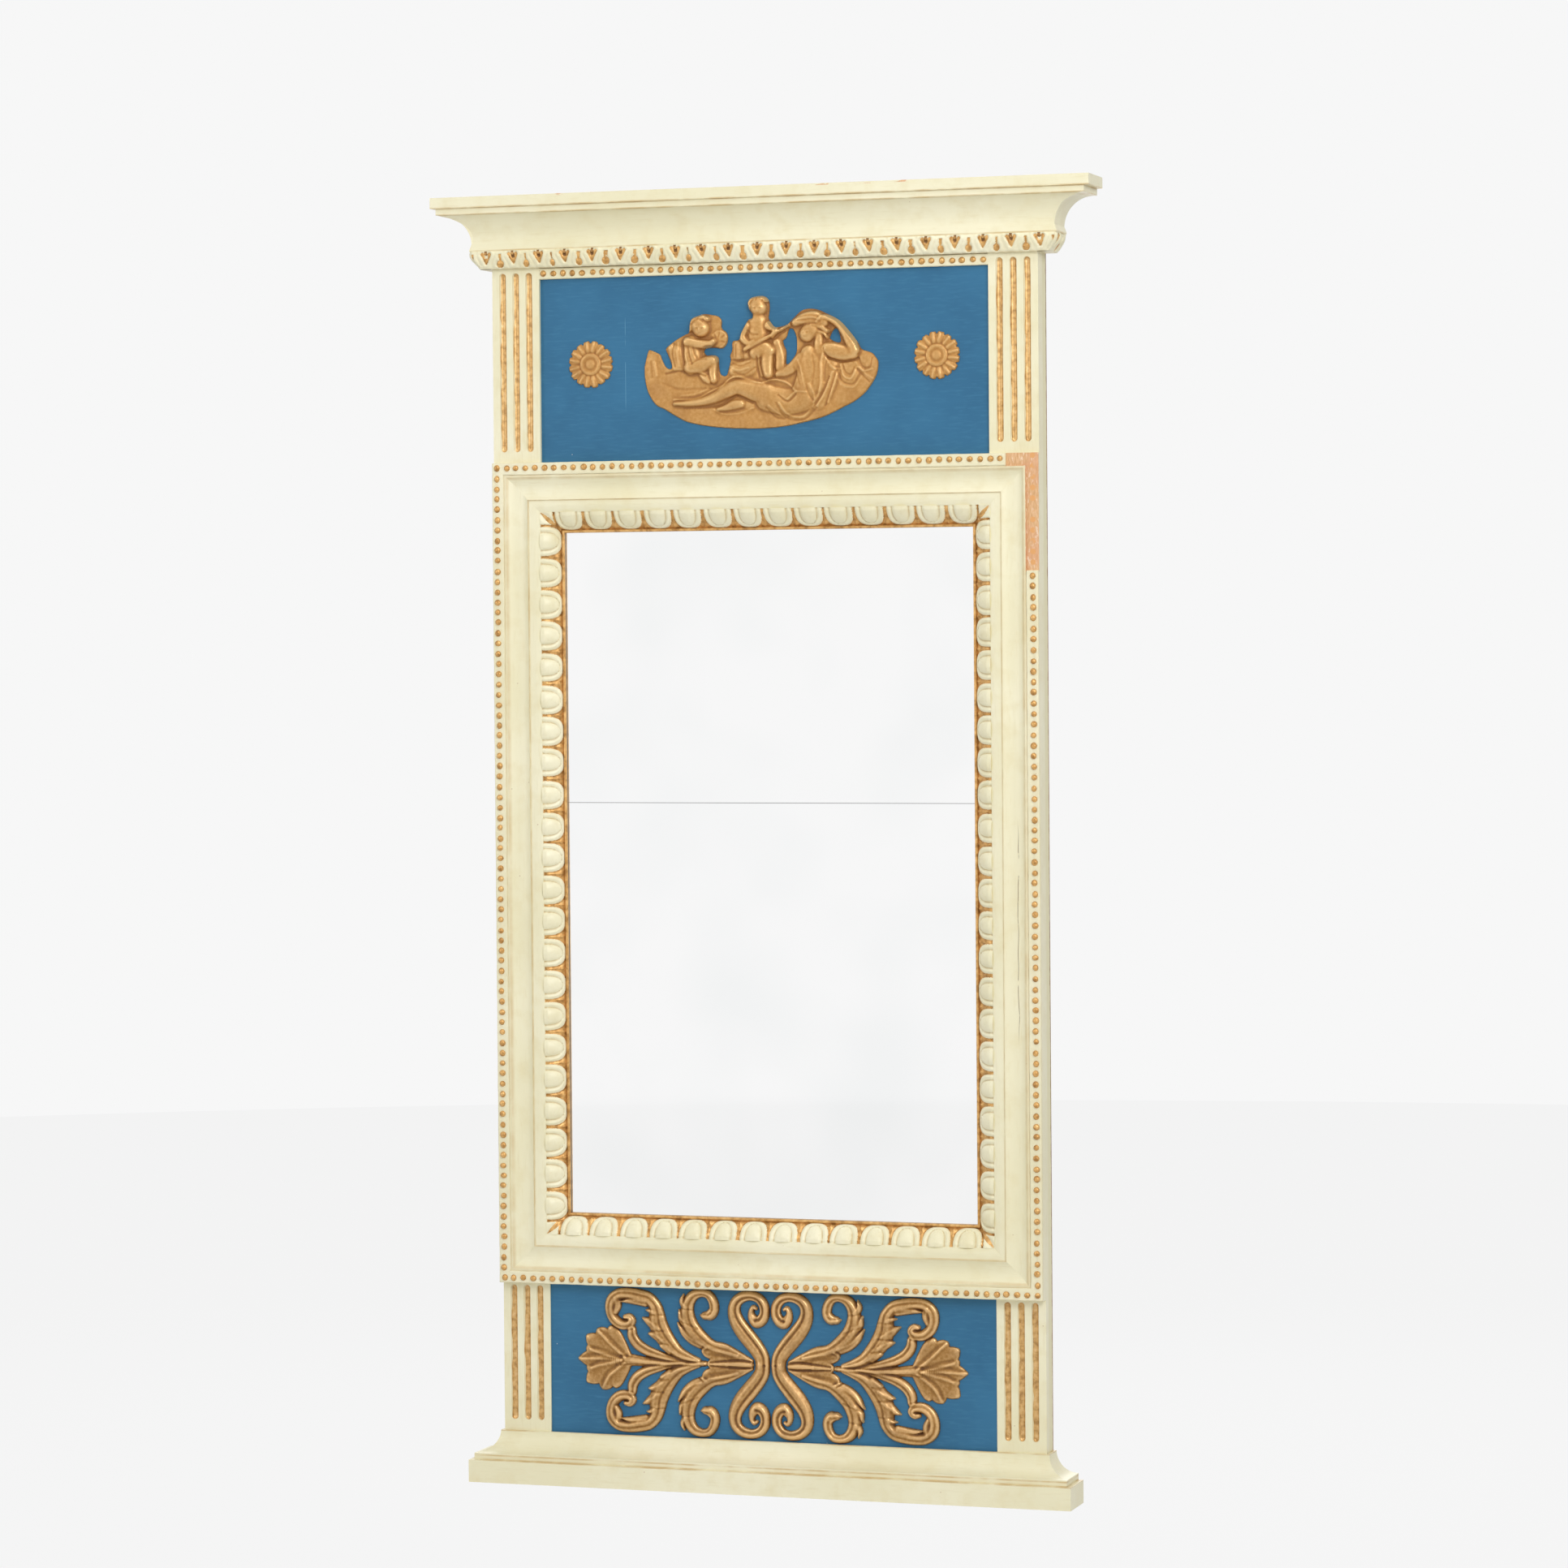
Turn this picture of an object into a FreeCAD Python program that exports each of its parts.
"""Painted and gilt trumeau mirror: a tall wall mirror in a carved softwood frame.

The glass sits in the middle in two panes. Above it is a blue panel with a gilt figure relief and two
rosettes, below it a blue panel with a gilt scroll ornament, and fluted pilasters stand beside both. A cornice
closes the top and a plinth the foot. Lengths are in millimetres.

Frame: X to the right as seen from the front, Z up, and Y into the wall. The wall is the plane Y = 0, so
the object lies at negative Y, and a "depth" is a distance forward from the wall. Z = 0 is the height of the two
hanging rings, so the origin is the point of the wall midway between them.
"""
import FreeCAD, Part
import math
import os
import Sketcher
from FreeCAD import Rotation, Vector

doc = FreeCAD.newDocument("trumeau_mirror")
sheet = doc.addObject("Spreadsheet::Sheet", "dims")

SIZES = [
    # heights, from the foot upwards
    ("hang_height", 1128, "ring pivots above the underside of the plinth"),
    ("plinth_height", 21, "plinth board"),
    ("base_height", 47, "plinth and base moulding together"),
    ("lower_zone_height", 140, "lower blue panel in sight"),
    ("frame_height", 766, "mirror frame, outside"),
    ("upper_zone_height", 170, "upper blue panel"),
    ("frieze_height", 10.5, "cream strip with one row of pearls"),
    ("leaf_height", 16.5, "leaf and dart moulding"),
    ("crown_height", 40, "cove of the cornice"),
    ("cap_height", 10, "cap board"),
    # widths and depths
    ("body_width", 526, "mirror frame and pilasters, outside"),
    ("pilaster_width", 46.5, "one pilaster"),
    ("cap_width", 632, "cap board"),
    ("plinth_width", 582, "plinth board"),
    ("back_depth", 14, "back frame"),
    ("border_depth", 34, "front of the pearl border"),
    ("upper_pilaster_depth", 28, "front of the upper pilasters"),
    ("upper_panel_depth", 24.5, "front of the upper blue panel"),
    ("frieze_depth", 25, "front of the frieze rail"),
    ("lower_pilaster_depth", 23, "front of the lower pilasters"),
    ("lower_panel_depth", 21.5, "front of the lower blue panel"),
    ("cap_depth", 50.5, "front of the cap board"),
    ("plinth_depth", 46, "front of the plinth"),
    # cornice, leaf moulding and base moulding: side projections from the body
    ("crown_fillet_out", 48, "square fillet under the cap"),
    ("crown_fillet_height", 6, "square fillet under the cap"),
    ("crown_cove_out", 45.5, "upper end of the cove"),
    ("crown_neck_out", 17.5, "narrowest point of the cove"),
    ("crown_neck_height", 7, "narrowest point above the lip"),
    ("crown_lip_out", 19.5, "lip at the foot of the cove"),
    ("leaf_top_out", 18, "upper edge of the leaf moulding"),
    ("leaf_foot_out", 10.5, "lower fillet of the leaf moulding"),
    ("base_fillet_out", 23.5, "fillet above the plinth"),
    ("base_fillet_height", 6, "fillet above the plinth"),
    ("base_cove_out", 3, "upper edge of the base cove"),
    # flutes
    ("flute_radius", 3.3, "half-round flute"),
    ("flute_pitch", 13, "between flutes"),
    ("flute_margin", 10, "from the foot of the pilaster to the flutes"),
    # mirror frame section, from the outer edge inwards
    ("pearl_strip_width", 11.5, "applied strip that carries the pearls"),
    ("pearl_strip_thickness", 3.2, "applied strip"),
    ("hollow_start", 13.5, "outer edge of the broad hollow"),
    ("hollow_end", 34.8, "inner edge of the broad hollow"),
    ("hollow_sag", 4.4, "depth of the broad hollow"),
    ("frame_member_width", 46, "moulded frame member"),
    ("egg_strip_width", 19.4, "egg and dart strip with its gilt sight edge"),
    ("egg_strip_depth", 29, "outer edge of the egg and dart strip"),
    ("sight_edge_width", 2.6, "gilt edge beside the glass"),
    ("sight_edge_depth", 17, "front of the gilt edge"),
    # ornament pitches
    ("pearl_radius", 2.7, "one pearl"),
    ("pearl_pitch", 9.6, "between pearls"),
    ("egg_inset", 58, "from the outer corner of the frame to the first egg"),
    ("egg_pitch", 29.3, "between eggs"),
    ("egg_radius", 9.5, "sphere of which an egg is a cap"),
    ("leaf_pitch", 26.7, "between darts of the leaf moulding"),
    ("pearl_loss_top", 30, "lost end of the top pearl strip"),
    ("pearl_loss_side", 106, "lost end of the right pearl strip"),
    # glass and back
    ("glass_thickness", 4, "mirror plate"),
    ("glass_overlap", 6, "glass behind the sight edge"),
    ("glass_clearance", 0.3, "between glass and sight edge"),
    ("glass_play", 1.4, "between the edge of the glass and the back frame"),
    ("pane_joint_height", 636, "joint of the two panes above the underside of the plinth"),
    ("pane_gap", 0.4, "between the two panes"),
    ("back_rail_height", 70, "rails above and below the glass"),
    ("top_rail_height", 130, "top rail of the back frame"),
    ("bottom_rail_height", 60, "bottom rail of the back frame"),
    ("rebate_width", 8, "rebate for the backboard"),
    ("rebate_depth", 5, "rebate for the backboard"),
    ("backboard_thickness", 4.5, "backboard"),
    ("nail_radius", 0.9, "backboard nail"),
    ("nail_head_radius", 2.2, "backboard nail"),
    ("nail_length", 11, "backboard nail"),
    ("fit_clearance", 0.05, "round a nail or a screw in its hole"),
    ("wedge_length", 32, "softwood wedge behind the glass"),
    ("wedge_width", 8, "softwood wedge behind the glass"),
    ("wedge_thickness", 4, "softwood wedge behind the glass"),
    # hangers
    ("hanger_offset", 234, "hanger from the middle of the mirror"),
    ("recess_width", 24, "recess for a hanger"),
    ("recess_depth", 7, "recess for a hanger"),
    ("plate_width", 16, "hanger plate"),
    ("plate_length", 44, "hanger plate"),
    ("plate_thickness", 1.2, "hanger plate"),
    ("barrel_radius", 3.2, "rolled barrel of the hanger plate"),
    ("barrel_length", 14, "rolled barrel of the hanger plate"),
    ("ring_wire_radius", 1.5, "wire of the hanging ring"),
    ("ring_half_width", 9, "middle of the hanging ring to its wire"),
    ("ring_straight", 6, "straight arm of the hanging ring"),
    ("ring_clearance", 0.08, "round the ring's wire in its barrel"),
    ("screw_radius", 1.6, "hanger screw"),
    ("screw_head_radius", 3.2, "hanger screw"),
    ("screw_head_height", 1.2, "hanger screw"),
    ("screw_length", 6, "hanger screw in the wood"),
    # applied ornaments
    ("rosette_radius", 22, "rosette"),
    ("rosette_offset", 167, "rosette from the middle of the mirror"),
    ("rosette_up", 89.5, "rosette above the mirror frame"),
    ("figure_up", 27, "figure relief above the mirror frame"),
    ("figure_width", 228, "figure relief"),
    ("scroll_width", 374, "scroll ornament"),
]

for row, (name, value, note) in enumerate(SIZES, start=1):
    sheet.set("A%d" % row, name)
    sheet.set("B%d" % row, str(value))
    sheet.set("C%d" % row, note)
    sheet.setAlias("B%d" % row, name)
doc.recompute()


class Size:
    """A length together with the expression that it comes from."""

    def __init__(self, value, text):
        self.value = float(value)
        self.text = text

    def __add__(self, other):
        other = size(other)
        return Size(self.value + other.value, "(%s + %s)" % (self.text, other.text))

    def __radd__(self, other):
        return size(other) + self

    def __sub__(self, other):
        other = size(other)
        return Size(self.value - other.value, "(%s - %s)" % (self.text, other.text))

    def __rsub__(self, other):
        return size(other) - self

    def __mul__(self, other):
        other = size(other)
        return Size(self.value * other.value, "(%s * %s)" % (self.text, other.text))

    def __rmul__(self, other):
        return self * other

    def __truediv__(self, other):
        other = size(other)
        return Size(self.value / other.value, "(%s / %s)" % (self.text, other.text))

    def __neg__(self):
        return Size(-self.value, "(0 - %s)" % self.text)


def size(number):
    """Turn a plain number into a Size, and leave a Size as it is."""
    return number if isinstance(number, Size) else Size(number, repr(float(number)))


class Sheet:
    """Read a driving dimension from the spreadsheet by its name."""

    def __getattr__(self, name):
        return Size(sheet.get(name), "dims." + name)


D = Sheet()

# levels, from the foot upwards
Z_FOOT = -D.hang_height
Z_PLINTH = Z_FOOT + D.plinth_height
Z_BASE = Z_FOOT + D.base_height
Z_FRAME = Z_BASE + D.lower_zone_height
Z_FRAME_TOP = Z_FRAME + D.frame_height
Z_PANEL_TOP = Z_FRAME_TOP + D.upper_zone_height
Z_LEAF = Z_PANEL_TOP + D.frieze_height
Z_CROWN = Z_LEAF + D.leaf_height
Z_CAP = Z_CROWN + D.crown_height
Z_TOP = Z_CAP + D.cap_height

# half widths
X_BODY = D.body_width / 2
X_PANEL = X_BODY - D.pilaster_width
MEMBER_WIDTH = D.frame_member_width + D.egg_strip_width
X_SIGHT = X_BODY - MEMBER_WIDTH
X_GLASS = X_SIGHT + D.glass_overlap
X_OPENING = X_GLASS + D.glass_play
Z_GLASS = Z_FRAME + MEMBER_WIDTH - D.glass_overlap
Z_GLASS_TOP = Z_FRAME_TOP - MEMBER_WIDTH + D.glass_overlap
Z_OPENING = Z_GLASS - D.glass_play
Z_OPENING_TOP = Z_GLASS_TOP + D.glass_play
Y_BACK = -D.back_depth

nodes = []


def bind(obj, prop, value):
    """Let the spreadsheet drive one property."""
    obj.setExpression(prop, size(value).text)


def keep(obj, label):
    """Name a finished sub-part, which becomes a node of its own."""
    obj.Label = label
    nodes.append(obj)
    return obj


def board(name, low, high):
    """A rectangular board between its lowest and highest corners."""
    box = doc.addObject("Part::Box", name)
    for prop, axis, start, end in zip(("Length", "Width", "Height"), "xyz", low, high):
        bind(box, prop, size(end) - start)
        bind(box, "Placement.Base." + axis, start)
    return box


def cylinder(name, radius, length, place, direction):
    """A round bar from place along direction."""
    bar = doc.addObject("Part::Cylinder", name)
    bind(bar, "Radius", radius)
    bind(bar, "Height", length)
    bar.Placement.Rotation = Rotation(Vector(0, 0, 1), Vector(*direction))
    for axis, value in zip("xyz", place):
        bind(bar, "Placement.Base." + axis, value)
    return bar


def ball(name, radius, place):
    """A sphere round a point."""
    sphere = doc.addObject("Part::Sphere", name)
    bind(sphere, "Radius", radius)
    for axis, value in zip("xyz", place):
        bind(sphere, "Placement.Base." + axis, value)
    return sphere


def fused(name, shapes):
    union = doc.addObject("Part::MultiFuse", name)
    union.Shapes = shapes
    return union


def carved(name, base, tools):
    """Base less every tool."""
    result = doc.addObject("Part::Cut", name)
    result.Base = base
    result.Tool = tools[0] if len(tools) == 1 else fused(name + "_tools", tools)
    return result


def grouped(name, shapes):
    """Separate identical solids that share one node."""
    group = doc.addObject("Part::Compound", name)
    group.Links = shapes
    return group


def modelled(name, shape):
    """A carved or cast form that is made from surfaces of its own."""
    feature = doc.addObject("Part::Feature", name)
    feature.Shape = shape
    return feature


# ---------------------------------------------------------------- bodies with sketches

def origin_plane(body, role):
    for feature in body.Origin.OriginFeatures:
        if feature.Role == role:
            return feature
    raise RuntimeError("no plane " + role)


def pin_point(sketch, geometry, end, place):
    """Hold one sketch point at the coordinates that the spreadsheet gives."""
    for kind, axis, value in (("DistanceX", -2, size(place[0])), ("DistanceY", -1, size(place[1]))):
        if value.text == "0.0":
            sketch.addConstraint(Sketcher.Constraint("PointOnObject", geometry, end, axis))
            continue
        index = sketch.addConstraint(Sketcher.Constraint(kind, -1, 1, geometry, end, value.value))
        sketch.setExpression("Constraints[%d]" % index, value.text)


def outline_sketch(body, name, role, outlines):
    """Draw closed outlines. A step is an end point, or a point on the way and an end point for an arc."""
    sketch = body.newObject("Sketcher::SketchObject", name)
    sketch.AttachmentSupport = [(origin_plane(body, role), "")]
    sketch.MapMode = "FlatFace"
    for outline in outlines:
        ends = [step[-1] for step in outline]
        start = ends[-1]
        loop = []
        for step in outline:
            a = Vector(size(start[0]).value, size(start[1]).value, 0)
            b = Vector(size(step[-1][0]).value, size(step[-1][1]).value, 0)
            if len(step) == 1:
                index = sketch.addGeometry(Part.LineSegment(a, b), False)
                loop.append((index, 1, 2))
            else:
                way = Vector(size(step[0][0]).value, size(step[0][1]).value, 0)
                arc = Part.Arc(a, way, b)
                index = sketch.addGeometry(arc, False)
                placed = sketch.getPoint(index, 1)
                loop.append((index, 1, 2) if placed.distanceToPoint(a) < 1e-6 else (index, 2, 1))
            start = step[-1]
        for number, (index, head, tail) in enumerate(loop):
            following = loop[(number + 1) % len(loop)]
            sketch.addConstraint(Sketcher.Constraint("Coincident", index, tail, following[0], following[1]))
        for (index, head, tail), place in zip(loop, ends):
            pin_point(sketch, index, tail, place)
        for (index, head, tail), step in zip(loop, outline):
            if len(step) == 2:
                way = sketch.addGeometry(
                    Part.Point(Vector(size(step[0][0]).value, size(step[0][1]).value, 0)), True)
                pin_point(sketch, way, 1, step[0])
                sketch.addConstraint(Sketcher.Constraint("PointOnObject", way, 1, index))
    return sketch


def padded(body, sketch, length, reverse=False):
    pad = body.newObject("PartDesign::Pad", body.Name + "_pad")
    pad.Profile = sketch
    bind(pad, "Length", length)
    pad.Reversed = reverse
    return pad


def pocketed(body, sketch):
    """Cut right through the body, on both sides of the sketch."""
    pocket = body.newObject("PartDesign::Pocket", body.Name + "_pocket")
    pocket.Profile = sketch
    pocket.Type = "ThroughAll"
    pocket.SideType = "Symmetric"
    return pocket


def new_body(name):
    return doc.addObject("PartDesign::Body", name)


def corner(*steps):
    """One outline: each point alone is a straight step, a pair of points is an arc."""
    return [step if isinstance(step[0], tuple) else (step,) for step in steps]


# The four sides of the mirror frame share one local frame: x runs along the side, y goes inwards from its
# outer edge and z is the depth. A turn about Y by 0, -90, 180 and 90 degrees makes it the bottom, right,
# top and left side.
SIDES = {
    "bottom": (0, D.body_width, -X_BODY, Z_FRAME),
    "right": (-90, D.frame_height, X_BODY, Z_FRAME),
    "top": (180, D.body_width, X_BODY, Z_FRAME_TOP),
    "left": (90, D.frame_height, -X_BODY, Z_FRAME_TOP),
}


def seat_on_side(obj, side):
    turn, length, corner_x, corner_z = SIDES[side]
    lie = Rotation(Vector(1, 0, 0), 90)
    obj.Placement.Rotation = Rotation(Vector(0, 1, 0), turn).multiply(lie)
    bind(obj, "Placement.Base.x", corner_x)
    bind(obj, "Placement.Base.z", corner_z)
    return obj


def side_member(name, side, section, inner, lost_start=None, lost_end=None):
    """A moulded strip along one side of the frame. Its ends are mitred, or cut square where wood is lost."""
    length = SIDES[side][1]
    over = 1
    start = corner((-over, -over), (inner + over, inner + over), (-over, inner + over))
    end = corner((length + over, -over), (length + over, inner + over), (length - inner - over, inner + over))
    if lost_start:
        start = corner((-over, -over), (lost_start, -over), (lost_start, inner + over), (-over, inner + over))
    if lost_end:
        kept = length - lost_end
        end = corner((kept, -over), (length + over, -over), (length + over, inner + over), (kept, inner + over))
    body = new_body(name)
    padded(body, outline_sketch(body, name + "_section", "YZ_Plane", [section]), length)
    pocketed(body, outline_sketch(body, name + "_ends", "XY_Plane", [start, end]))
    return seat_on_side(body, side)


# ---------------------------------------------------------------- back frame

def mirrored_x(sign, inner, outer):
    """The two X limits of a piece on the left (-1) or right (+1), lowest first."""
    return (-outer, -inner) if sign < 0 else (inner, outer)


SIDE_SIGNS = (("left", -1), ("right", 1))
X_REBATE = X_OPENING + D.rebate_width
Z_REBATE = Z_OPENING - D.rebate_width
Z_REBATE_TOP = Z_OPENING_TOP + D.rebate_width
RING_REACH = D.ring_straight + D.ring_half_width + D.ring_wire_radius
SCREW_DROPS = (24, 36)
Y_RECESS = -D.recess_depth
Y_PIVOT = Y_RECESS + D.barrel_radius

NAIL_ROWS = 5
NAIL_COLUMNS = 3
nail_inset = D.rebate_width / 2
nail_places = []
for row in range(NAIL_ROWS):
    share = (row + 0.5) / NAIL_ROWS
    height = Z_REBATE + (Z_REBATE_TOP - Z_REBATE) * share
    nail_places += [(sign * (X_OPENING + nail_inset), height) for sign in (-1, 1)]
for column in range(NAIL_COLUMNS):
    share = (column + 0.5) / NAIL_COLUMNS * 2 - 1
    nail_places += [(X_OPENING * share, Z_OPENING - nail_inset), (X_OPENING * share, Z_OPENING_TOP + nail_inset)]

for side, sign in SIDE_SIGNS:
    name = "back_stile_" + side
    low_x, high_x = mirrored_x(sign, X_OPENING, X_BODY)
    blank = board(name + "_blank", (low_x, Y_BACK, Z_PLINTH), (high_x, 0, Z_CAP))
    low_x, high_x = mirrored_x(sign, X_OPENING - 1, X_REBATE)
    tools = [board(name + "_rebate", (low_x, -D.rebate_depth, Z_REBATE), (high_x, 1, Z_REBATE_TOP))]
    middle = sign * D.hanger_offset
    half = D.recess_width / 2
    tools.append(board(name + "_recess", (middle - half, Y_RECESS, -D.plate_length - 3),
                       (middle + half, 1, RING_REACH + 6)))
    for number, drop in enumerate(SCREW_DROPS):
        tools.append(cylinder("%s_screw_hole%d" % (name, number), D.screw_radius + D.fit_clearance,
                              D.screw_length + 0.2, (middle, Y_RECESS, size(-drop)), (0, -1, 0)))
    for number, (x, z) in enumerate(nail_places):
        if x.value * sign > X_OPENING.value:
            tools.append(cylinder("%s_nail_hole%d" % (name, number), D.nail_radius + D.fit_clearance,
                                  D.nail_length - D.backboard_thickness + 0.2, (x, -D.rebate_depth, z),
                                  (0, -1, 0)))
    keep(carved(name, blank, tools), name)

RAILS = {
    "back_rail_bottom": (Z_PLINTH, Z_PLINTH + D.bottom_rail_height, None),
    "back_rail_lower": (Z_OPENING - D.back_rail_height, Z_OPENING, "lower"),
    "back_rail_upper": (Z_OPENING_TOP, Z_OPENING_TOP + D.back_rail_height, "upper"),
    "back_rail_top": (Z_CAP - D.top_rail_height, Z_CAP, None),
}
for name, (low_z, high_z, rebate) in RAILS.items():
    plain = name if rebate is None else name + "_blank"
    rail = board(plain, (-X_OPENING, Y_BACK, low_z), (X_OPENING, 0, high_z))
    if rebate:
        band = (Z_REBATE, Z_OPENING + 1) if rebate == "lower" else (Z_OPENING_TOP - 1, Z_REBATE_TOP)
        tools = [board(name + "_rebate", (-X_REBATE, -D.rebate_depth, band[0]), (X_REBATE, 1, band[1]))]
        for number, (x, z) in enumerate(nail_places):
            if low_z.value < z.value < high_z.value and abs(x.value) < X_OPENING.value:
                tools.append(cylinder("%s_nail_hole%d" % (name, number), D.nail_radius + D.fit_clearance,
                                      D.nail_length - D.backboard_thickness + 0.2,
                                      (x, -D.rebate_depth, z), (0, -1, 0)))
        rail = carved(name, rail, tools)
    keep(rail, name)

# ---------------------------------------------------------------- glass, wedges, backboard and nails

Y_GLASS = Y_BACK + D.glass_clearance
Y_GLASS_BACK = Y_GLASS + D.glass_thickness
Z_JOINT = Z_FOOT + D.pane_joint_height
keep(board("mirror_pane_lower", (-X_GLASS, Y_GLASS, Z_GLASS), (X_GLASS, Y_GLASS_BACK, Z_JOINT)),
     "mirror_pane_lower")
keep(board("mirror_pane_upper", (-X_GLASS, Y_GLASS, Z_JOINT + D.pane_gap),
           (X_GLASS, Y_GLASS_BACK, Z_GLASS_TOP)), "mirror_pane_upper")


def wedge(name, place, turn):
    """A three-cornered glue block in the angle between the back of the glass and the back frame."""
    body = new_body(name)
    section = corner((0, 0), (D.wedge_width, 0), (0, D.wedge_thickness))
    padded(body, outline_sketch(body, name + "_section", "XY_Plane", [section]), D.wedge_length)
    body.Placement.Rotation = turn
    for axis, value in zip("xyz", place):
        bind(body, "Placement.Base." + axis, value)
    return body


def wedge_turn(along, across):
    """Turn a wedge so that its length lies along one direction and its width across another."""
    return Rotation(Vector(*across), Vector(0, 1, 0), Vector(*along), "ZXY")


wedges = []
WEDGES_UP = 4
WEDGES_ACROSS = 2
half = D.wedge_length / 2
for row in range(WEDGES_UP):
    height = Z_OPENING + (Z_OPENING_TOP - Z_OPENING) * ((row + 0.5) / WEDGES_UP)
    wedges.append(wedge("wedge_right%d" % row, (X_OPENING, Y_GLASS_BACK, height + half),
                        wedge_turn((0, 0, -1), (-1, 0, 0))))
    wedges.append(wedge("wedge_left%d" % row, (-X_OPENING, Y_GLASS_BACK, height - half),
                        wedge_turn((0, 0, 1), (1, 0, 0))))
for column in range(WEDGES_ACROSS):
    reach = X_OPENING * ((column + 0.5) / WEDGES_ACROSS * 2 - 1)
    wedges.append(wedge("wedge_bottom%d" % column, (reach + half, Y_GLASS_BACK, Z_OPENING),
                        wedge_turn((-1, 0, 0), (0, 0, 1))))
    wedges.append(wedge("wedge_top%d" % column, (reach - half, Y_GLASS_BACK, Z_OPENING_TOP),
                        wedge_turn((1, 0, 0), (0, 0, -1))))
keep(grouped("glass_wedges", wedges), "glass_wedges")

BOARD_PLAY = 0.5
Y_BOARD = -D.rebate_depth
Y_BOARD_BACK = Y_BOARD + D.backboard_thickness
blank = board("backboard_blank", (-X_REBATE + BOARD_PLAY, Y_BOARD, Z_REBATE + BOARD_PLAY),
              (X_REBATE - BOARD_PLAY, Y_BOARD_BACK, Z_REBATE_TOP - BOARD_PLAY))
holes = [cylinder("backboard_hole%d" % number, D.nail_radius + D.fit_clearance, D.backboard_thickness + 2,
                  (x, Y_BOARD_BACK + 1, z), (0, -1, 0)) for number, (x, z) in enumerate(nail_places)]
keep(carved("backboard", blank, holes), "backboard")

nails = []
for number, (x, z) in enumerate(nail_places):
    shank = cylinder("nail%d_shank" % number, D.nail_radius, D.nail_length, (x, Y_BOARD_BACK, z), (0, -1, 0))
    head = cylinder("nail%d_head" % number, D.nail_head_radius, D.rebate_depth - D.backboard_thickness,
                    (x, Y_BOARD_BACK, z), (0, 1, 0))
    nails.append(fused("nail%d" % number, [shank, head]))
keep(grouped("backboard_nails", nails), "backboard_nails")

# ---------------------------------------------------------------- hangers

for side, sign in SIDE_SIGNS:
    middle = sign * D.hanger_offset
    name = "hanger_plate_" + side
    half = D.plate_width / 2
    leaf = board(name + "_leaf", (middle - half, Y_RECESS, -D.plate_length),
                 (middle + half, Y_RECESS + D.plate_thickness, 0))
    barrel = cylinder(name + "_barrel", D.barrel_radius, D.barrel_length,
                      (middle - D.barrel_length / 2, Y_PIVOT, 0), (1, 0, 0))
    tools = [cylinder(name + "_bore", D.ring_wire_radius + D.ring_clearance, D.barrel_length + 2,
                      (middle - D.barrel_length / 2 - 1, Y_PIVOT, 0), (1, 0, 0))]
    for number, drop in enumerate(SCREW_DROPS):
        tools.append(cylinder("%s_hole%d" % (name, number), D.screw_radius + D.fit_clearance,
                              D.plate_thickness + 2, (middle, Y_RECESS - 1, size(-drop)), (0, 1, 0)))
    keep(carved(name, fused(name + "_blank", [leaf, barrel]), tools), name)


def ring_shape(middle):
    """A wire bent to a D: its straight bar turns in the barrel and its bow hangs below."""
    wire = D.ring_wire_radius.value
    half = D.ring_half_width.value
    arm = D.ring_straight.value
    y = Y_PIVOT.value
    left, right = middle - half, middle + half
    bar = Part.makeCylinder(wire, 2 * half, Vector(left, y, 0), Vector(1, 0, 0))
    parts = [Part.makeSphere(wire, Vector(right, y, 0))]
    parts += [Part.makeCylinder(wire, arm, Vector(x, y, 0), Vector(0, 0, -1)) for x in (left, right)]
    parts.append(Part.makeSphere(wire, Vector(left, y, 0)))
    rim = Part.Face(Part.Wire(Part.makeCircle(wire, Vector(left, y, -arm), Vector(0, 0, 1))))
    parts.append(rim.revolve(Vector(middle, y, -arm), Vector(0, -1, 0), 180))
    return bar.multiFuse(parts).removeSplitter()


for side, sign in SIDE_SIGNS:
    ring = ring_shape((sign * D.hanger_offset).value)
    keep(modelled("hanging_ring_" + side, ring), "hanging_ring_" + side)

screws = []
for side, sign in SIDE_SIGNS:
    for number, drop in enumerate(SCREW_DROPS):
        name = "screw_%s%d" % (side, number)
        place = (sign * D.hanger_offset, Y_RECESS + D.plate_thickness, size(-drop))
        shank = cylinder(name + "_shank", D.screw_radius, D.screw_length + D.plate_thickness, place, (0, -1, 0))
        head = cylinder(name + "_head", D.screw_head_radius, D.screw_head_height, place, (0, 1, 0))
        screws.append(fused(name, [shank, head]))
keep(grouped("hanger_screws", screws), "hanger_screws")

# ---------------------------------------------------------------- panels, pilasters and frieze

keep(board("upper_panel", (-X_PANEL, -D.upper_panel_depth, Z_FRAME_TOP), (X_PANEL, Y_BACK, Z_PANEL_TOP)),
     "upper_panel")
keep(board("lower_panel", (-X_PANEL, -D.lower_panel_depth, Z_PLINTH), (X_PANEL, Y_BACK, Z_FRAME)),
     "lower_panel")
keep(board("frieze_rail", (-X_PANEL, -D.frieze_depth, Z_PANEL_TOP), (X_PANEL, Y_BACK, Z_CAP)), "frieze_rail")

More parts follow.
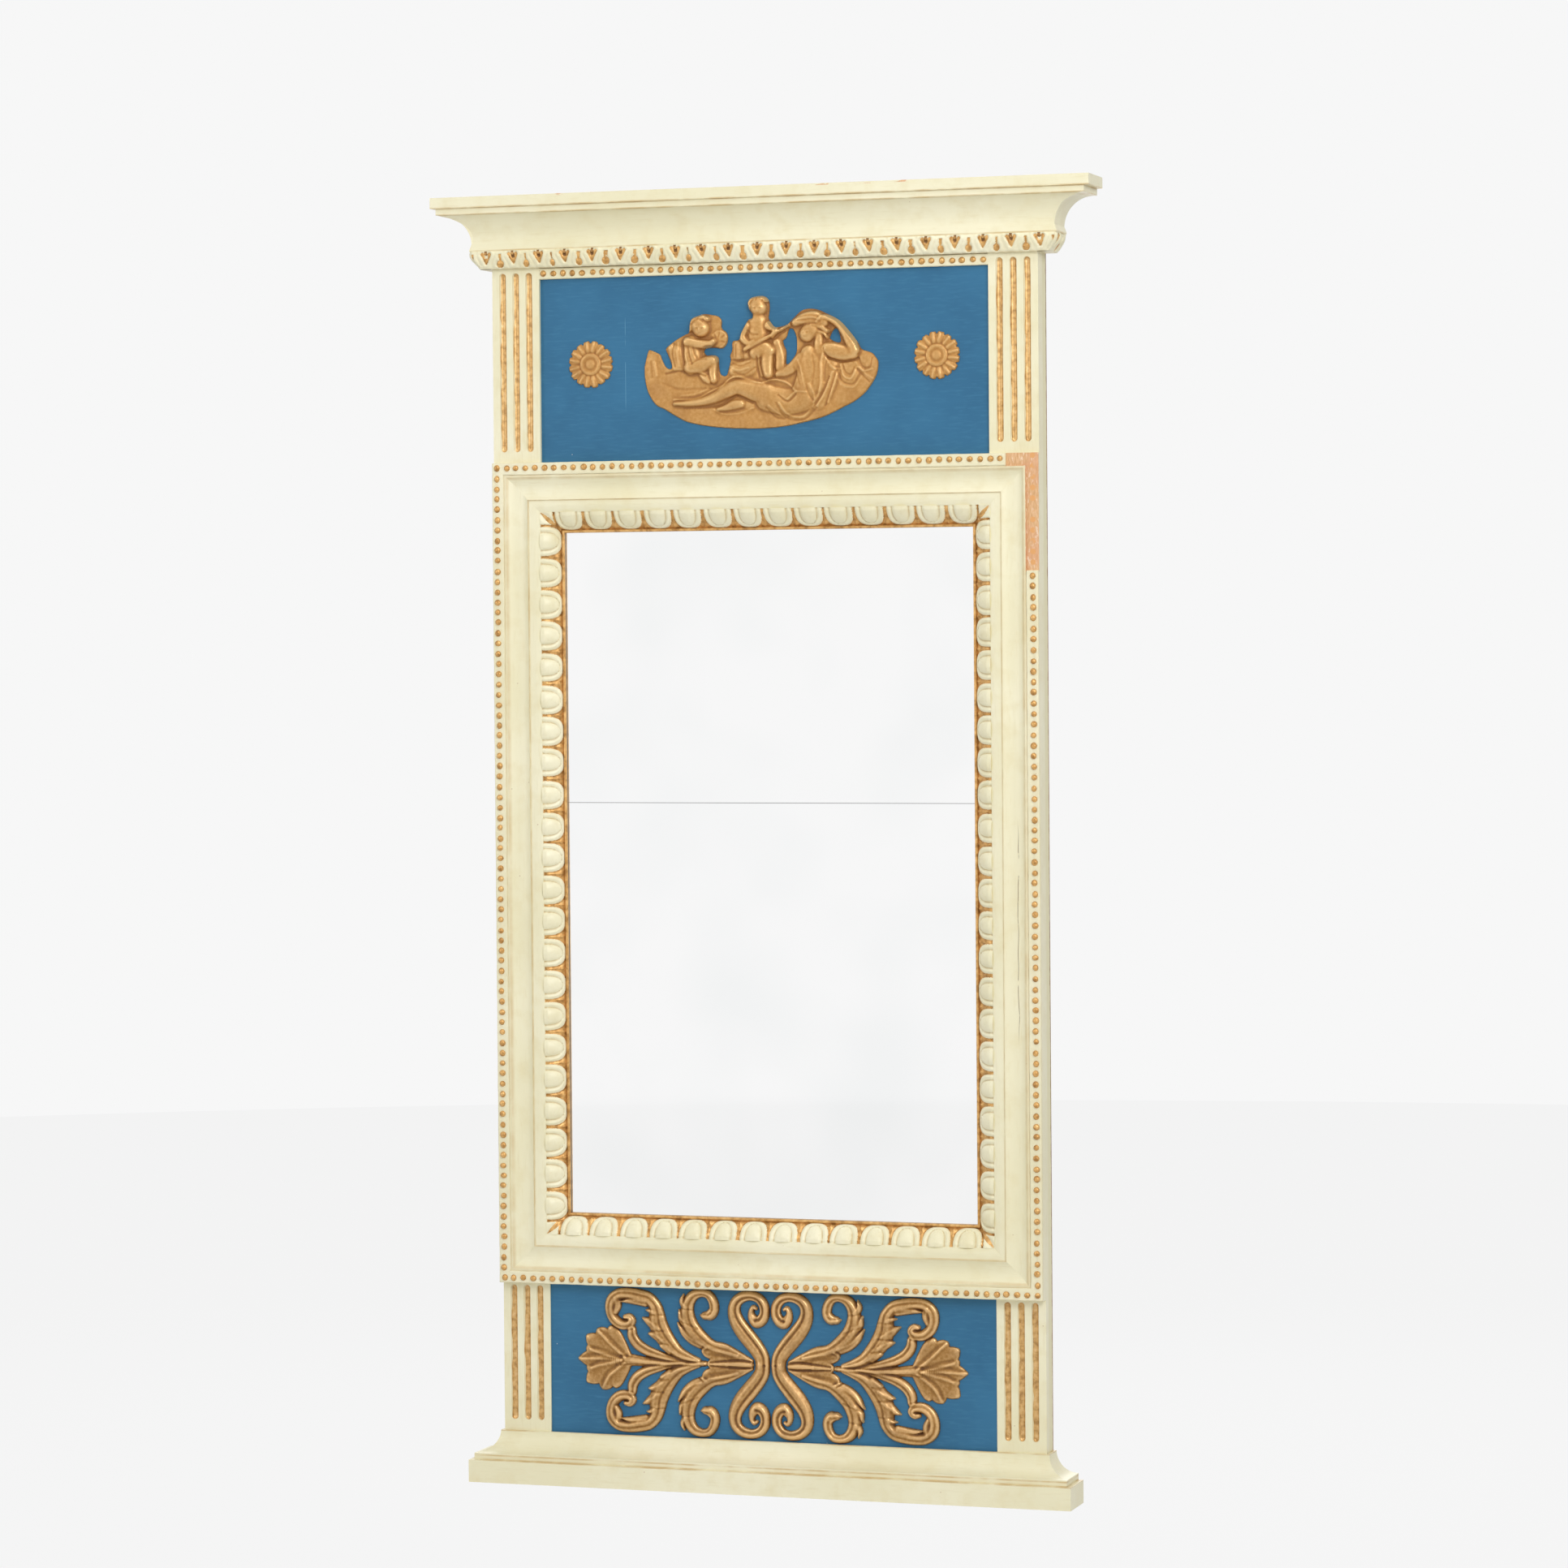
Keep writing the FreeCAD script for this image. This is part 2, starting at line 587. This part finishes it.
PILASTERS = {
    "upper": (D.upper_pilaster_depth, Z_FRAME_TOP, Z_CAP, Z_FRAME_TOP + D.flute_margin, Z_LEAF - 4),
    "lower": (D.lower_pilaster_depth, Z_PLINTH, Z_FRAME, Z_BASE + D.flute_margin, Z_FRAME - 3),
}
FLUTES = (-1, 0, 1)
for zone, (depth, low_z, high_z, flute_foot, flute_top) in PILASTERS.items():
    for side, sign in SIDE_SIGNS:
        name = "pilaster_%s_%s" % (zone, side)
        low_x, high_x = mirrored_x(sign, X_PANEL, X_BODY)
        blank = board(name + "_blank", (low_x, -depth, low_z), (high_x, Y_BACK, high_z))
        middle = sign * (X_PANEL + D.pilaster_width / 2)
        tools = []
        for number, step in enumerate(FLUTES):
            x = middle + D.flute_pitch * step
            foot = flute_foot + D.flute_radius
            top = flute_top - D.flute_radius
            flute = "%s_flute%d" % (name, number)
            tools.append(cylinder(flute, D.flute_radius, top - foot, (x, -depth, foot), (0, 0, 1)))
            tools.append(ball(flute + "_foot", D.flute_radius, (x, -depth, foot)))
            tools.append(ball(flute + "_top", D.flute_radius, (x, -depth, top)))
        keep(carved(name, blank, tools), name)

# ---------------------------------------------------------------- mirror frame

STRIP_SEAT = D.border_depth - D.pearl_strip_thickness
FILLET_DEPTH = D.border_depth - 1
HOLLOW_END_DEPTH = FILLET_DEPTH - 0.8
HOLLOW_MIDDLE = (D.hollow_start + D.hollow_end) / 2
BAND_DEPTH = HOLLOW_END_DEPTH - 1
BAND_END_DEPTH = D.egg_strip_depth + 0.5
BAND_START = D.hollow_end + 1.2
for side in SIDES:
    section = corner(
        (0, D.back_depth),
        (0, STRIP_SEAT),
        (D.pearl_strip_width, STRIP_SEAT),
        (D.pearl_strip_width, FILLET_DEPTH),
        (D.hollow_start, FILLET_DEPTH),
        ((HOLLOW_MIDDLE, FILLET_DEPTH - D.hollow_sag), (D.hollow_end, HOLLOW_END_DEPTH)),
        (D.hollow_end, BAND_DEPTH),
        (BAND_START, BAND_DEPTH),
        (((BAND_START + D.frame_member_width) / 2, BAND_DEPTH - 0.1), (D.frame_member_width, BAND_END_DEPTH)),
        (D.frame_member_width, D.back_depth),
    )
    keep(side_member("frame_" + side, side, section, D.frame_member_width), "frame_" + side)

# A pearl strip lies on the outer seat of each frame side. The strips of the top and the right side have lost
# the ends that met in the corner between them.
LOST_START = {"top": D.pearl_loss_top}
LOST_END = {"right": D.pearl_loss_side}
PEARL_ROW = 5.0


def along_side(side, shapes):
    """Small forms along one side, turned and placed as the side is."""
    turn, length, corner_x, corner_z = SIDES[side]
    form = Part.makeCompound(shapes)
    form.Placement.Rotation = Rotation(Vector(0, 1, 0), turn).multiply(Rotation(Vector(1, 0, 0), 90))
    form.Placement.Base = Vector(corner_x.value, 0, corner_z.value)
    return form


def spaced(first, last, pitch):
    """Even places from first to last, as near to the pitch as they come."""
    count = max(1, round((last - first) / pitch))
    return [first + (last - first) * number / count for number in range(count + 1)]


pearl_pitch = D.pearl_pitch.value
for side in SIDES:
    length = SIDES[side][1].value
    name = "pearl_strip_" + side
    lost_start = LOST_START.get(side)
    lost_end = LOST_END.get(side)
    section = corner((0, STRIP_SEAT), (0, D.border_depth), (D.pearl_strip_width, D.border_depth),
                     (D.pearl_strip_width, STRIP_SEAT))
    bar = side_member(name + "_bar", side, section, D.pearl_strip_width, lost_start, lost_end)
    first = lost_start.value + pearl_pitch / 2 if lost_start else PEARL_ROW
    last = length - (lost_end.value + pearl_pitch / 2 if lost_end else PEARL_ROW + pearl_pitch)
    places = spaced(first, last, pearl_pitch)
    pearls = [Part.makeSphere(D.pearl_radius.value, Vector(x, PEARL_ROW, D.border_depth.value)) for x in places]
    keep(fused(name, [bar, modelled(name + "_pearls", along_side(side, pearls))]), name)

# Egg and dart strips between the frame sides and the glass. An egg is a cap of a sphere on the sloping
# face, and a dart is a slender cone between two eggs.
EGG_START = D.frame_member_width
EDGE_START = MEMBER_WIDTH - D.sight_edge_width
SLOPE_RUN = (EDGE_START - EGG_START).value
SLOPE_DROP = (D.egg_strip_depth - D.sight_edge_depth).value
SLOPE_LENGTH = math.hypot(SLOPE_RUN, SLOPE_DROP)
SLOPE_NORMAL = Vector(0, SLOPE_DROP / SLOPE_LENGTH, SLOPE_RUN / SLOPE_LENGTH)
SLOPE_DOWN = Vector(0, SLOPE_RUN / SLOPE_LENGTH, -SLOPE_DROP / SLOPE_LENGTH)
SLOPE_MIDDLE = Vector(0, EGG_START.value + SLOPE_RUN / 2, D.sight_edge_depth.value + SLOPE_DROP / 2)
SLOPE_BULGE = 1.2
EGG_RISE = 4.4
DART_WIDE, DART_NARROW = 2.4, 0.7


def egg_at(x):
    centre = SLOPE_MIDDLE + SLOPE_NORMAL * (EGG_RISE - D.egg_radius.value) + Vector(x, 0, 0)
    return Part.makeSphere(D.egg_radius.value, centre)


def dart_at(x):
    foot = SLOPE_MIDDLE + SLOPE_DOWN * (SLOPE_LENGTH / 2 - 1) + Vector(x, 0, 0)
    return Part.makeCone(DART_WIDE, DART_NARROW, SLOPE_LENGTH - 3, foot, SLOPE_DOWN * -1)


for side in SIDES:
    name = "egg_and_dart_" + side
    length = SIDES[side][1]
    bulge = ((EGG_START + EDGE_START) / 2 + SLOPE_BULGE * SLOPE_NORMAL.y,
             (D.egg_strip_depth + D.sight_edge_depth) / 2 + SLOPE_BULGE * SLOPE_NORMAL.z)
    section = corner(
        (EGG_START, D.back_depth),
        (EGG_START, D.egg_strip_depth),
        (bulge, (EDGE_START, D.sight_edge_depth)),
        (MEMBER_WIDTH, D.sight_edge_depth),
        (MEMBER_WIDTH, D.back_depth),
    )
    bar = side_member(name + "_bar", side, section, MEMBER_WIDTH)
    ends = spaced(D.egg_inset.value, length.value - D.egg_inset.value, D.egg_pitch.value)
    eggs = [egg_at((low + high) / 2) for low, high in zip(ends, ends[1:])]
    darts = [dart_at(place) for place in ends[1:-1]]
    room = Part.makeBox(length.value, D.egg_strip_width.value, D.border_depth.value,
                        Vector(0, EGG_START.value, D.back_depth.value))
    carving = along_side(side, [form.common(room) for form in eggs + darts])
    keep(fused(name, [bar, modelled(name + "_carving", carving)]), name)

# ---------------------------------------------------------------- cornice, leaf moulding, base moulding

def plan_mitre(name, sign, face, out_x, out_y, keep_front):
    """Outline in plan of the wood to take away beyond the mitre of one corner."""
    far = 6
    slope = (out_x - X_BODY) / (out_y - face)
    end_x, end_y = out_x + slope * far, -(out_y + far)
    if keep_front:
        points = [(X_BODY, -face), (end_x, end_y), (end_x + far, end_y), (end_x + far, -face)]
    else:
        points = [(X_BODY, -face), (end_x, end_y), (X_BODY - far, end_y), (X_BODY - far, -face)]
    return corner(*[(sign * x, y) for x, y in points])


def moulding_run(name, side_section, face, out_x, out_y, carving=None):
    """One moulding round the front and both sides. Its section is given as steps of (side projection, z),
    and the front run has the same section, drawn in so that it meets the sides at the mitre."""
    ratio = (out_y - face) / (out_x - X_BODY)

    def drawn(section, place):
        return [tuple(place(out, z) for out, z in step) for step in section]

    def finished(body, label):
        if carving:
            body.Label = label + "_run"
            body = fused(label + "_carved", [body, modelled(label + "_carving", Part.makeCompound(carving[label]))])
        keep(body, label)

    front = new_body(name + "_front")
    section = drawn(side_section, lambda out, z: (-(face + size(out) * ratio), z))
    padded(front, outline_sketch(front, name + "_front_section", "YZ_Plane", [section]), 2 * out_x)
    bind(front, "Placement.Base.x", -out_x)
    ends = [[tuple((x + out_x, y) for x, y in step) for step in plan_mitre(name, sign, face, out_x, out_y, True)]
            for sign in (-1, 1)]
    pocketed(front, outline_sketch(front, name + "_front_ends", "XY_Plane", ends))
    finished(front, name + "_front")
    for side, sign in SIDE_SIGNS:
        label = "%s_return_%s" % (name, side)
        body = new_body(label)
        section = drawn(side_section, lambda out, z: (sign * (X_BODY + out), z))
        padded(body, outline_sketch(body, label + "_section", "XZ_Plane", [section]), out_y)
        end = plan_mitre(name, sign, face, out_x, out_y, False)
        pocketed(body, outline_sketch(body, label + "_end", "XY_Plane", [end]))
        finished(body, label)


CROWN_COVE_Z = Z_CAP - D.crown_fillet_height
CROWN_NECK_Z = Z_CROWN + D.crown_neck_height
COVE_RISE = CROWN_COVE_Z - CROWN_NECK_Z
COVE_REACH = D.crown_cove_out - D.crown_neck_out
QUARTER = math.sqrt(0.5)
crown_section = corner(
    (0, Z_CROWN),
    (D.crown_lip_out, Z_CROWN),
    (D.crown_lip_out, Z_CROWN + 1.5),
    (D.crown_neck_out, CROWN_NECK_Z),
    ((D.crown_neck_out + COVE_REACH * (1 - QUARTER), CROWN_NECK_Z + COVE_RISE * QUARTER),
     (D.crown_cove_out, CROWN_COVE_Z)),
    (D.crown_fillet_out, CROWN_COVE_Z),
    (D.crown_fillet_out, Z_CAP),
    (0, Z_CAP),
)
X_CAP = D.cap_width / 2
moulding_run("crown", crown_section, D.upper_pilaster_depth, X_CAP, D.cap_depth)

leaf_section = corner(
    (0, Z_LEAF),
    (D.leaf_foot_out, Z_LEAF),
    (D.leaf_foot_out, Z_LEAF + 1.5),
    ((D.leaf_top_out - 2.2, Z_LEAF + 7), (D.leaf_top_out, Z_CROWN - 2.5)),
    (D.leaf_top_out, Z_CROWN),
    (0, Z_CROWN),
)

# Its carving: pointed darts under the crown, and between them drops, each a bead on a stem.
LEAF_RATIO = ((D.cap_depth - D.upper_pilaster_depth) / (X_CAP - X_BODY)).value
LEAF_OUT = D.leaf_top_out.value
LEAF_TOP = Z_CROWN.value
DART_RADIUS = 4.2
DROP_RADIUS = 2.6
STEM_RADIUS = 1.5


def leaf_dart(x, y):
    """A dart that hangs point down at a place in plan."""
    return Part.makeCone(DART_RADIUS, 0.8, 11, Vector(x, y, LEAF_TOP - 0.5), Vector(0, 0, -1))


def leaf_drop(x, y):
    stem = Part.makeCylinder(STEM_RADIUS, 9, Vector(x, y, LEAF_TOP - 2), Vector(0, 0, -1))
    return stem.fuse(Part.makeSphere(DROP_RADIUS, Vector(x, y, LEAF_TOP - 12)))


leaf_y = -(D.upper_pilaster_depth.value + (LEAF_OUT - 2) * LEAF_RATIO)
leaf_x = X_BODY.value + LEAF_OUT - 2
places = spaced(-X_BODY.value, X_BODY.value, D.leaf_pitch.value)
leaf_carving = {"leaf_moulding_front": [leaf_dart(x, leaf_y) for x in places] + [
    leaf_drop((low + high) / 2, leaf_y + 1.5) for low, high in zip(places, places[1:])]}
for side, sign in SIDE_SIGNS:
    leaf_carving["leaf_moulding_return_" + side] = [
        leaf_dart(sign * leaf_x, -D.back_depth.value * 1.6), leaf_drop(sign * (leaf_x - 1.5), -8.0)]
moulding_run("leaf_moulding", leaf_section, D.upper_pilaster_depth, X_CAP, D.cap_depth, leaf_carving)

BASE_FILLET_Z = Z_PLINTH + D.base_fillet_height
base_section = corner(
    (0, Z_PLINTH),
    (D.base_fillet_out, Z_PLINTH),
    (D.base_fillet_out, BASE_FILLET_Z),
    ((D.base_cove_out + (D.base_fillet_out - D.base_cove_out) * (1 - QUARTER),
      BASE_FILLET_Z + (Z_BASE - BASE_FILLET_Z) * (1 - QUARTER)), (D.base_cove_out, Z_BASE)),
    (0, Z_BASE),
)
moulding_run("base_moulding", base_section, D.lower_pilaster_depth, D.plinth_width / 2, D.plinth_depth)

keep(board("cornice_cap", (-X_CAP, -D.cap_depth, Z_CAP), (X_CAP, 0, Z_TOP)), "cornice_cap")
keep(board("base_plinth", (-D.plinth_width / 2, -D.plinth_depth, Z_FOOT), (D.plinth_width / 2, 0, Z_PLINTH)),
     "base_plinth")

# ---------------------------------------------------------------- applied ornaments

LEAST_SUNK = 0.37
JOINT_FULL = 1.03


class Relief:
    """Rounded forms on a panel, fused to one casting that is flat where it meets the panel."""

    def __init__(self, depth, middle_x, foot_z, scale, mirror=1, rise=9.0):
        self.depth = depth.value
        self.origin = Vector(size(middle_x).value, -depth.value, size(foot_z).value)
        self.scale = scale
        self.mirror = mirror
        self.rise = rise
        self.parts = []

    def place(self, x, z, radius=0.0):
        """A point of the drawing, sunk into the panel where its form would stand out too far."""
        sunk = max(LEAST_SUNK, radius - self.rise)
        return self.origin + Vector(x * self.mirror, sunk, z) * self.scale

    def ball(self, x, z, radius):
        """A joint, a little fuller than the limbs that meet in it."""
        self.parts.append(Part.makeSphere(radius * JOINT_FULL * self.scale, self.place(x, z, radius)))

    def limb(self, *joints):
        """A tapering limb, stem or leaf through joints of (x, z, radius)."""
        for x, z, radius in joints:
            self.ball(x, z, radius)
        for (x0, z0, r0), (x1, z1, r1) in zip(joints, joints[1:]):
            start = self.place(x0, z0, r0)
            way = self.place(x1, z1, r1) - start
            if abs(r0 - r1) < 1e-6:
                self.parts.append(Part.makeCylinder(r0 * self.scale, way.Length, start, way))
            else:
                self.parts.append(Part.makeCone(r0 * self.scale, r1 * self.scale, way.Length, start, way))

    def scroll(self, x, z, heading, steps):
        """A winding stem of straight runs (length, 0, radius) and arcs (bend radius, turn, radius)."""
        for reach, turn, radius in steps:
            angle = math.radians(heading)
            self.ball(x, z, radius)
            if turn == 0:
                end_x, end_z = x + reach * math.cos(angle), z + reach * math.sin(angle)
                start = self.place(x, z, radius)
                way = self.place(end_x, end_z, radius) - start
                self.parts.append(Part.makeCylinder(radius * self.scale, way.Length, start, way))
            else:
                hand = math.copysign(1, turn)
                centre_x = x - hand * reach * math.sin(angle)
                centre_z = z + hand * reach * math.cos(angle)
                self.bend((x, z), (centre_x, centre_z), angle, turn, radius)
                heading += turn
                angle = math.radians(heading)
                end_x = centre_x + hand * reach * math.sin(angle)
                end_z = centre_z - hand * reach * math.cos(angle)
            x, z = end_x, end_z
        self.ball(x, z, steps[-1][2] * 1.1)

    def bend(self, start, centre, angle, turn, radius):
        tangent = Vector(math.cos(angle) * self.mirror, 0, math.sin(angle))
        rim = Part.makeCircle(radius * self.scale, self.place(start[0], start[1], radius), tangent)
        axis = Vector(0, -self.mirror, 0)
        ring = Part.Face(Part.Wire(rim)).revolve(self.place(centre[0], centre[1], radius), axis, turn)
        self.parts.append(ring)

    def plate(self, thickness, outline):
        """A flat ground of the given outline. A step with two points is an arc."""
        edges = []
        start = outline[-1][-1]
        for step in outline:
            ends = [self.place(*point) for point in (start,) + step]
            edges.append(Part.LineSegment(*ends).toShape() if len(ends) == 2 else Part.Arc(*ends).toShape())
            start = step[-1]
        face = Part.Face(Part.Wire(edges))
        reach = (thickness + LEAST_SUNK) * self.scale
        self.parts.append(face.extrude(Vector(0, -reach, 0)))

    def casting(self):
        """Every form, cut flat at the panel and fused to one solid."""
        whole = self.parts[0].multiFuse(self.parts[1:])
        bound = whole.BoundBox
        front = self.rise * 3 * self.scale
        room = Part.makeBox(bound.XLength + 10, front, bound.ZLength + 10,
                            Vector(bound.XMin - 5, -self.depth - front, bound.ZMin - 5))
        return whole.common(room)


def one_solid(shape, name):
    if len(shape.Solids) != 1:
        raise RuntimeError("%s is %d solids" % (name, len(shape.Solids)))
    return shape.Solids[0]


# Two rosettes: a ring of sixteen petals round a domed boss with a rolled rim.
ROSETTE_PETALS = 16
for side, sign in SIDE_SIGNS:
    name = "rosette_" + side
    relief = Relief(D.upper_panel_depth, sign * D.rosette_offset, Z_FRAME_TOP + D.rosette_up,
                    D.rosette_radius.value / 22, rise=5.5)
    for number in range(ROSETTE_PETALS):
        turn = 2 * math.pi * number / ROSETTE_PETALS
        relief.limb((9 * math.cos(turn), 9 * math.sin(turn), 3.2),
                    (17.8 * math.cos(turn), 17.8 * math.sin(turn), 4.2))
    relief.ball(0, 0, 11)
    rim = Part.makeTorus(8.6 * relief.scale, 1.7 * relief.scale, relief.place(0, 0) + Vector(0, -4.2, 0),
                         Vector(0, 1, 0))
    relief.parts.append(rim)
    keep(modelled(name, one_solid(relief.casting(), name)), name)

# The scroll ornament: two S-shaped scrolls back to back, and on each side a spray that ends in a palmette.
SCROLL_MIDDLE = (Z_BASE + Z_FRAME) / 2
SCROLL_NOMINAL = 374.0
UP_DOWN = (1, -1)
for side, sign in SIDE_SIGNS:
    scale = D.scroll_width.value / SCROLL_NOMINAL
    name = "scroll_" + side
    relief = Relief(D.lower_panel_depth, 0, SCROLL_MIDDLE, scale, mirror=sign, rise=7)
    for hand in UP_DOWN:
        relief.scroll(9.6, 0, 90 * hand, [
            (20, -40 * hand, 6.4), (22, 0, 6.2), (29, 40 * hand, 5.8),
            (14, 180 * hand, 5), (8, 90 * hand, 4.5), (5, 180 * hand, 4),
        ])
    keep(modelled(name, one_solid(relief.casting(), name)), name)

    name = "palmette_spray_" + side
    relief = Relief(D.lower_panel_depth, 0, SCROLL_MIDDLE, scale, mirror=sign, rise=7)
    relief.plate(4.5, [((40, 13), (64, 15)), ((68, 9),), ((60, 0),), ((68, -9),), ((64, -15),),
                       ((40, -13), (17, 0))])
    relief.limb((21, 0, 3), (60, 0, 2.2))
    relief.limb((62, 0, 4), (100, 0, 4.5), (146, 0, 5.5))
    for hand in UP_DOWN:
        relief.scroll(38, 8 * hand, 28 * hand, [
            (22, 0, 4.5), (32, 75 * hand, 4.5), (11, 180 * hand, 4), (7, 130 * hand, 4),
        ])
        relief.scroll(66, 3 * hand, 15 * hand, [
            (14, 0, 4.5), (30, 75 * hand, 5), (9, 0, 5), (18, -85 * hand, 5), (16, 0, 5),
            (18.5, -155 * hand, 4.5), (8, -150 * hand, 4),
        ])
        relief.limb((74, 24 * hand, 4), (86, 32 * hand, 4), (92, 37 * hand, 1.2))
        relief.limb((76, 44 * hand, 4), (85, 50 * hand, 4), (84, 62 * hand, 1.2))
        relief.limb((100, 24 * hand, 4), (112, 30 * hand, 4.5), (118, 27 * hand, 1.2))
        relief.limb((102, 36 * hand, 4), (114, 43 * hand, 4.5), (124, 40 * hand, 1.2))
        relief.limb((118, 60 * hand, 4), (134, 56 * hand, 3.5), (144, 54 * hand, 1.2))
        relief.limb((98, 3 * hand, 3.2), (120, 9 * hand, 3.2), (131, 17 * hand, 3.2), (135, 25 * hand, 3.2))
        relief.limb((140, 3 * hand, 3.5), (149, 12 * hand, 3.2), (148, 26 * hand, 3.2))
        relief.limb((150, 2 * hand, 4), (168, 12 * hand, 6.5), (179, 18 * hand, 1.2))
        relief.limb((150, 4 * hand, 4), (158, 20 * hand, 6), (165, 30 * hand, 1.2))
    relief.limb((150, 0, 4), (170, 0, 7), (186, 0, 1.2))
    keep(modelled(name, one_solid(relief.casting(), name)), name)

# The figure relief: two seated children and a draped woman lying at ease, on a boat-shaped ground.
FIGURE_NOMINAL = 228.0
figure = Relief(D.upper_panel_depth, 0, Z_FRAME_TOP + D.figure_up, D.figure_width.value / FIGURE_NOMINAL)
figure.plate(3.5, [
    ((0, 0), (112, 52)), ((107, 66),), ((92, 70),), ((70, 50),), ((25, 58),), ((-33, 49),),
    ((-60, 54),), ((-88, 56),), ((-95, 60),), ((-99, 70),), ((-108, 74),), ((-114, 60),), ((-113, 45),),
])
LIMBS = {
    "ground": [(-106, 40, 7), (-80, 14, 7), (-40, 5, 5), (0, 5, 5), (50, 10, 6), (88, 26, 8), (104, 48, 7)],
    "left child's back": [(-76, 56, 11), (-74, 68, 11), (-70, 80, 9.5)],
    "left child's head": [(-57, 95, 10.5), (-48, 98, 8)],
    "left child's neck": [(-68, 84, 7), (-60, 90, 6)],
    "left child's arm": [(-70, 82, 6), (-48, 80, 5)],
    "left child's cape": [(-74, 82, 4), (-88, 74, 4), (-82, 58, 4)],
    "left child's thigh": [(-72, 58, 9), (-48, 62, 7)],
    "left child's shin": [(-48, 62, 6), (-44, 44, 5)],
    "tambourine": [(-41, 83, 8.5)],
    "middle child's trunk": [(-6, 66, 12), (-4, 78, 12), (-1, 90, 10)],
    "middle child's head": [(-2, 111, 10.5), (-1, 98, 6)],
    "middle child's raised arm": [(6, 92, 6), (18, 93, 5), (29, 97, 4)],
    "middle child's other arm": [(-12, 88, 6), (-20, 74, 5.5)],
    "lute": [(-23, 72, 6.5), (-6, 80, 5)],
    "middle child's thigh": [(-8, 62, 9), (12, 68, 7.5)],
    "middle child's shin": [(13, 68, 6.5), (8, 48, 5.5)],
    "middle child's seat": [(-20, 56, 9), (16, 52, 8)],
    "woman's head": [(50, 90, 12)],
    "woman's neck": [(52, 84, 8), (52, 74, 8)],
    "woman's veil": [(30, 97, 3.5), (40, 105, 4), (54, 105, 4), (70, 98, 4)],
    "woman's trunk": [(54, 66, 15), (46, 50, 14), (34, 34, 13)],
    "woman's near arm": [(40, 66, 7), (26, 56, 6)],
    "woman's raised arm": [(62, 72, 8.5), (88, 66, 7), (79, 90, 5.5), (60, 102, 5)],
    "woman's upper leg": [(34, 34, 13), (-8, 34, 10), (-40, 24, 7.5), (-66, 18, 4.5)],
    "woman's lower leg": [(34, 24, 12), (-10, 20, 8), (-34, 20, 6)],
    "drapery over the hip": [(62, 56, 6), (60, 34, 5), (50, 16, 5)],
    "drapery behind": [(74, 60, 7), (94, 58, 8), (104, 52, 6)],
    "drapery on the ground": [(80, 44, 8), (74, 24, 6)],
    "left rock": [(-108, 66, 5), (-104, 52, 8)],
}
for joints in LIMBS.values():
    figure.limb(*joints)
keep(modelled("figure_relief", one_solid(figure.casting(), "figure_relief")), "figure_relief")

# The strip of pearls on the frieze rail, and the darts and drops of the leaf moulding.
FRIEZE_STRIP = D.upper_pilaster_depth - D.frieze_depth
strip = board("frieze_strip_bar", (-X_PANEL, -D.upper_pilaster_depth, Z_PANEL_TOP),
              (X_PANEL, -D.frieze_depth, Z_LEAF))
inset = pearl_pitch / 2
places = spaced(inset - X_PANEL.value, X_PANEL.value - inset, pearl_pitch)
row_z = Z_PANEL_TOP.value + PEARL_ROW
pearls = [Part.makeSphere(D.pearl_radius.value, Vector(x, -D.upper_pilaster_depth.value, row_z)) for x in places]
keep(fused("pearl_strip_frieze", [strip, modelled("frieze_pearls", Part.makeCompound(pearls))]),
     "pearl_strip_frieze")

doc.recompute()
faults = [obj.Label for obj in doc.Objects if "Invalid" in obj.State or "Error" in obj.State]
if faults:
    raise RuntimeError("failed: " + ", ".join(faults))
for node in nodes:
    if node.Shape.isNull() or not node.Shape.isValid() or not node.Shape.Solids:
        raise RuntimeError("bad shape: " + node.Label)

os.makedirs("parts", exist_ok=True)
for node in nodes:
    node.Shape.exportStep("parts/%s.step" % node.Label)
    box = node.Shape.BoundBox
    print("%-24s solids %3d  volume %10.1f  x %7.1f %7.1f  y %6.1f %6.1f  z %8.1f %8.1f" % (
        node.Label, len(node.Shape.Solids), node.Shape.Volume, box.XMin, box.XMax, box.YMin, box.YMax,
        box.ZMin, box.ZMax))
print("nodes", len(nodes))
